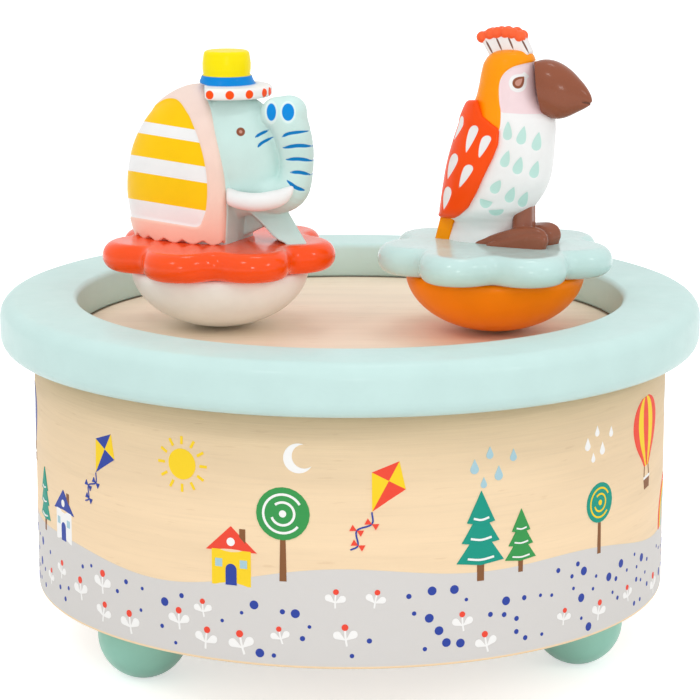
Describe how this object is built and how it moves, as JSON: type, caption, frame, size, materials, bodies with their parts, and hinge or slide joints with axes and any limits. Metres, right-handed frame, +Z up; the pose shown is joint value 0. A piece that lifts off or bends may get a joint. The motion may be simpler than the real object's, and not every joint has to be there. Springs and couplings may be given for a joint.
{
  "type": "cylinder music box",
  "caption": "Round wooden music box with a wind-up cylinder movement below and two magnetic toy figures, an elephant and a parrot, that circle and spin on its sunken top.",
  "frame": {"origin": "on the floor under the middle of the round case, at the level of the feet's flats", "axes": "+Z up along the case's axis, -Y towards the viewer, +X from the elephant to the parrot"},
  "size_m": [0.12, 0.12, 0.1069],
  "materials": {
    "plywood": "bare birch plywood, satin",
    "mint_wood": "painted wood, satin mint",
    "cream_wood": "painted wood, satin cream",
    "orange_wood": "painted wood, satin orange",
    "red_resin": "painted casting, satin red-orange",
    "mint_resin": "painted casting, satin mint",
    "pink_resin": "painted casting, satin pink",
    "white_resin": "painted casting, satin white",
    "yellow_resin": "painted casting, satin yellow",
    "orange_resin": "painted casting, satin orange",
    "brown_resin": "painted casting, satin brown",
    "zinc": "die-cast zinc, left bare",
    "steel": "bright steel",
    "brass": "bright brass",
    "spring_steel": "blued spring steel",
    "black_plastic": "moulded, matt black",
    "white_plastic": "moulded, natural white",
    "magnet": "nickel-plated magnet"
  },
  "bodies": {
    "case": {"wall_shell": "plywood", "rim_ring": "mint_wood", "top_board": "plywood", "base_board": "plywood", "foot_left": "mint_wood", "foot_right": "mint_wood", "foot_back": "mint_wood", "foot_screws": "steel", "movement_screws": "steel", "bedplate": "zinc", "comb": "steel", "comb_screws": "brass", "governor_bracket": "zinc", "bracket_screw": "steel"},
    "click_lever": {"click": "steel"},
    "key": {"winding_key": "brass", "winding_arbor": "steel", "ratchet_wheel": "steel"},
    "turntable": {"spring_barrel": "white_plastic", "barrel_cover": "steel", "mainspring": "spring_steel", "drive_shaft": "steel", "magnet_carrier": "black_plastic", "carrier_magnets": "magnet"},
    "cylinder": {"cylinder_drum": "brass", "cylinder_shaft": "steel", "cylinder_pinion": "brass", "cylinder_gear": "brass"},
    "idler": {"idler_gear": "white_plastic", "idler_shaft": "steel"},
    "governor": {"governor_worm": "steel", "governor_fan": "white_plastic"},
    "elephant_seat": {"elephant_magnet": "magnet"},
    "elephant": {"elephant_dome": "cream_wood", "elephant_flower": "red_resin", "elephant_body": "mint_resin", "elephant_blanket": "pink_resin", "elephant_tusks": "white_resin", "elephant_hat": "yellow_resin"},
    "parrot_seat": {"parrot_magnet": "magnet"},
    "parrot": {"parrot_dome": "orange_wood", "parrot_flower": "mint_resin", "parrot_body": "white_resin", "parrot_wings": "red_resin", "parrot_tail": "orange_resin", "parrot_beak": "brown_resin", "parrot_crest": "red_resin", "parrot_feet": "brown_resin"}
  },
  "joints": [
    {"name": "key_wind", "type": "hinge", "parent": "case", "child": "key", "pos_m": [0, 0, 0.0064], "axis": [0, 0, 1], "range_deg": [0, 1620]},
    {"name": "click_lift", "type": "hinge", "parent": "case", "child": "click_lever", "pos_m": [-0.00926, 0.00341, 0.0181], "axis": [0, 0, -1], "range_deg": [0, 10], "stiffness_Nm_per_rad": 0.0005},
    {"name": "turntable_turn", "type": "hinge", "parent": "case", "child": "turntable", "pos_m": [0, 0, 0.0224], "axis": [0, 0, 1], "continuous": true},
    {"name": "cylinder_turn", "type": "hinge", "parent": "case", "child": "cylinder", "pos_m": [0.0276, 0, 0.03008], "axis": [1, 0, 0], "continuous": true},
    {"name": "idler_turn", "type": "hinge", "parent": "case", "child": "idler", "pos_m": [0.0387, -0.00974, 0.02446], "axis": [1, 0, 0], "continuous": true},
    {"name": "governor_turn", "type": "hinge", "parent": "case", "child": "governor", "pos_m": [0.0402, -0.01644, 0.02446], "axis": [0, 0, 1], "continuous": true},
    {"name": "elephant_lift", "type": "slide", "parent": "turntable", "child": "elephant_seat", "axis": [0, 0, 1], "range_m": [0, 0.08]},
    {"name": "elephant_spin", "type": "hinge", "parent": "elephant_seat", "child": "elephant", "pos_m": [-0.0224, 0.0005, 0.055], "axis": [0, 0, 1], "continuous": true},
    {"name": "parrot_lift", "type": "slide", "parent": "turntable", "child": "parrot_seat", "axis": [0, 0, 1], "range_m": [0, 0.08]},
    {"name": "parrot_spin", "type": "hinge", "parent": "parrot_seat", "child": "parrot", "pos_m": [0.0248, -0.0034, 0.055], "axis": [0, 0, 1], "continuous": true}
  ],
  "couplings": [
    {"joint": "cylinder_turn", "follows": "turntable_turn", "ratio": 4},
    {"joint": "idler_turn", "follows": "turntable_turn", "ratio": -16},
    {"joint": "governor_turn", "follows": "turntable_turn", "ratio": -320}
  ]
}
